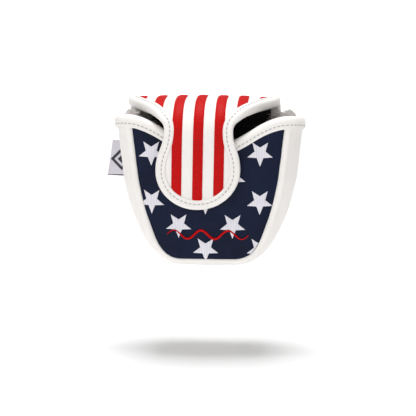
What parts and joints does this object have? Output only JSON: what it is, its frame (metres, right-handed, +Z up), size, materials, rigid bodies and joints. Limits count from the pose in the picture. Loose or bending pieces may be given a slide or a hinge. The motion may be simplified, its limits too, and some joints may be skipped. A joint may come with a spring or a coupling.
{
  "type": "putter head cover",
  "caption": "Padded mallet putter head cover: U-shaped pouch, striped flap folding over the mouth, magnetic tongue over a star-patterned front panel.",
  "frame": {"origin": "centre of the flat foot, on the surface that the cover stands on", "axes": "+Z up towards the mouth, -Y out of the front panel, +X to the right seen from the front"},
  "size_m": [0.1433, 0.0625, 0.1184],
  "materials": {
    "navy_leather": "fine grain",
    "white_leather": "fine grain",
    "red_thread": "satin stitch",
    "star_thread": "satin stitch",
    "black_fleece": "fleece",
    "grey_plush": "long plush pile",
    "foam": "open-cell foam padding",
    "magnet": "nickel plated",
    "woven_label": "woven"
  },
  "bodies": {
    "cover_body": {"front_panel": "navy_leather", "front_border": "white_leather", "front_foam": "foam", "front_lining": "black_fleece", "front_magnet": "magnet", "front_flourish": "red_thread", "back_panel": "white_leather", "back_border": "white_leather", "back_foam": "foam", "back_lining": "black_fleece", "gusset": "white_leather", "gusset_foam": "foam", "gusset_lining": "grey_plush", "mouth_binding": "white_leather", "star_01": "star_thread", "star_02": "star_thread", "star_03": "star_thread", "star_04": "star_thread", "star_05": "star_thread", "star_06": "star_thread", "star_07": "star_thread", "star_08": "star_thread", "star_09": "star_thread", "star_10": "star_thread", "star_11": "star_thread", "back_stripe_1": "red_thread", "back_stripe_2": "red_thread", "back_stripe_3": "red_thread", "back_stripe_4": "red_thread", "back_stripe_5": "red_thread", "back_stripe_6": "red_thread", "back_stripe_7": "red_thread"},
    "flap_top": {"flap_top_panel": "white_leather", "flap_top_foam": "foam", "flap_top_lining": "black_fleece", "wing_binding_left": "white_leather", "wing_binding_right": "white_leather", "top_stripe_1": "red_thread", "top_stripe_2": "red_thread", "top_stripe_3": "red_thread", "top_stripe_4": "red_thread", "top_stripe_5": "red_thread", "top_stripe_6": "red_thread", "top_stripe_7": "red_thread"},
    "tongue": {"tongue_panel": "white_leather", "tongue_foam": "foam", "tongue_lining": "black_fleece", "tongue_binding": "white_leather", "tongue_magnet": "magnet", "tongue_stripe_1": "red_thread", "tongue_stripe_2": "red_thread", "tongue_stripe_3": "red_thread"},
    "label": {"side_label": "woven_label"}
  },
  "joints": [
    {"name": "flap_hinge", "type": "hinge", "parent": "cover_body", "child": "flap_top", "pos_m": [-0.0046, 0.0273, 0.1015], "axis": [-1, 0, 0], "range_deg": [0, 135]},
    {"name": "tongue_fold", "type": "hinge", "parent": "flap_top", "child": "tongue", "pos_m": [-0.00601, -0.03488, 0.09414], "axis": [-1, 0, 0], "range_deg": [0, 75], "stiffness_Nm_per_rad": 0.004},
    {"name": "label_flex", "type": "hinge", "parent": "cover_body", "child": "label", "pos_m": [-0.05372, 0.0257, 0.06975], "axis": [-0.1129, 0, 0.9936], "range_deg": [-35, 35], "stiffness_Nm_per_rad": 0.001}
  ]
}
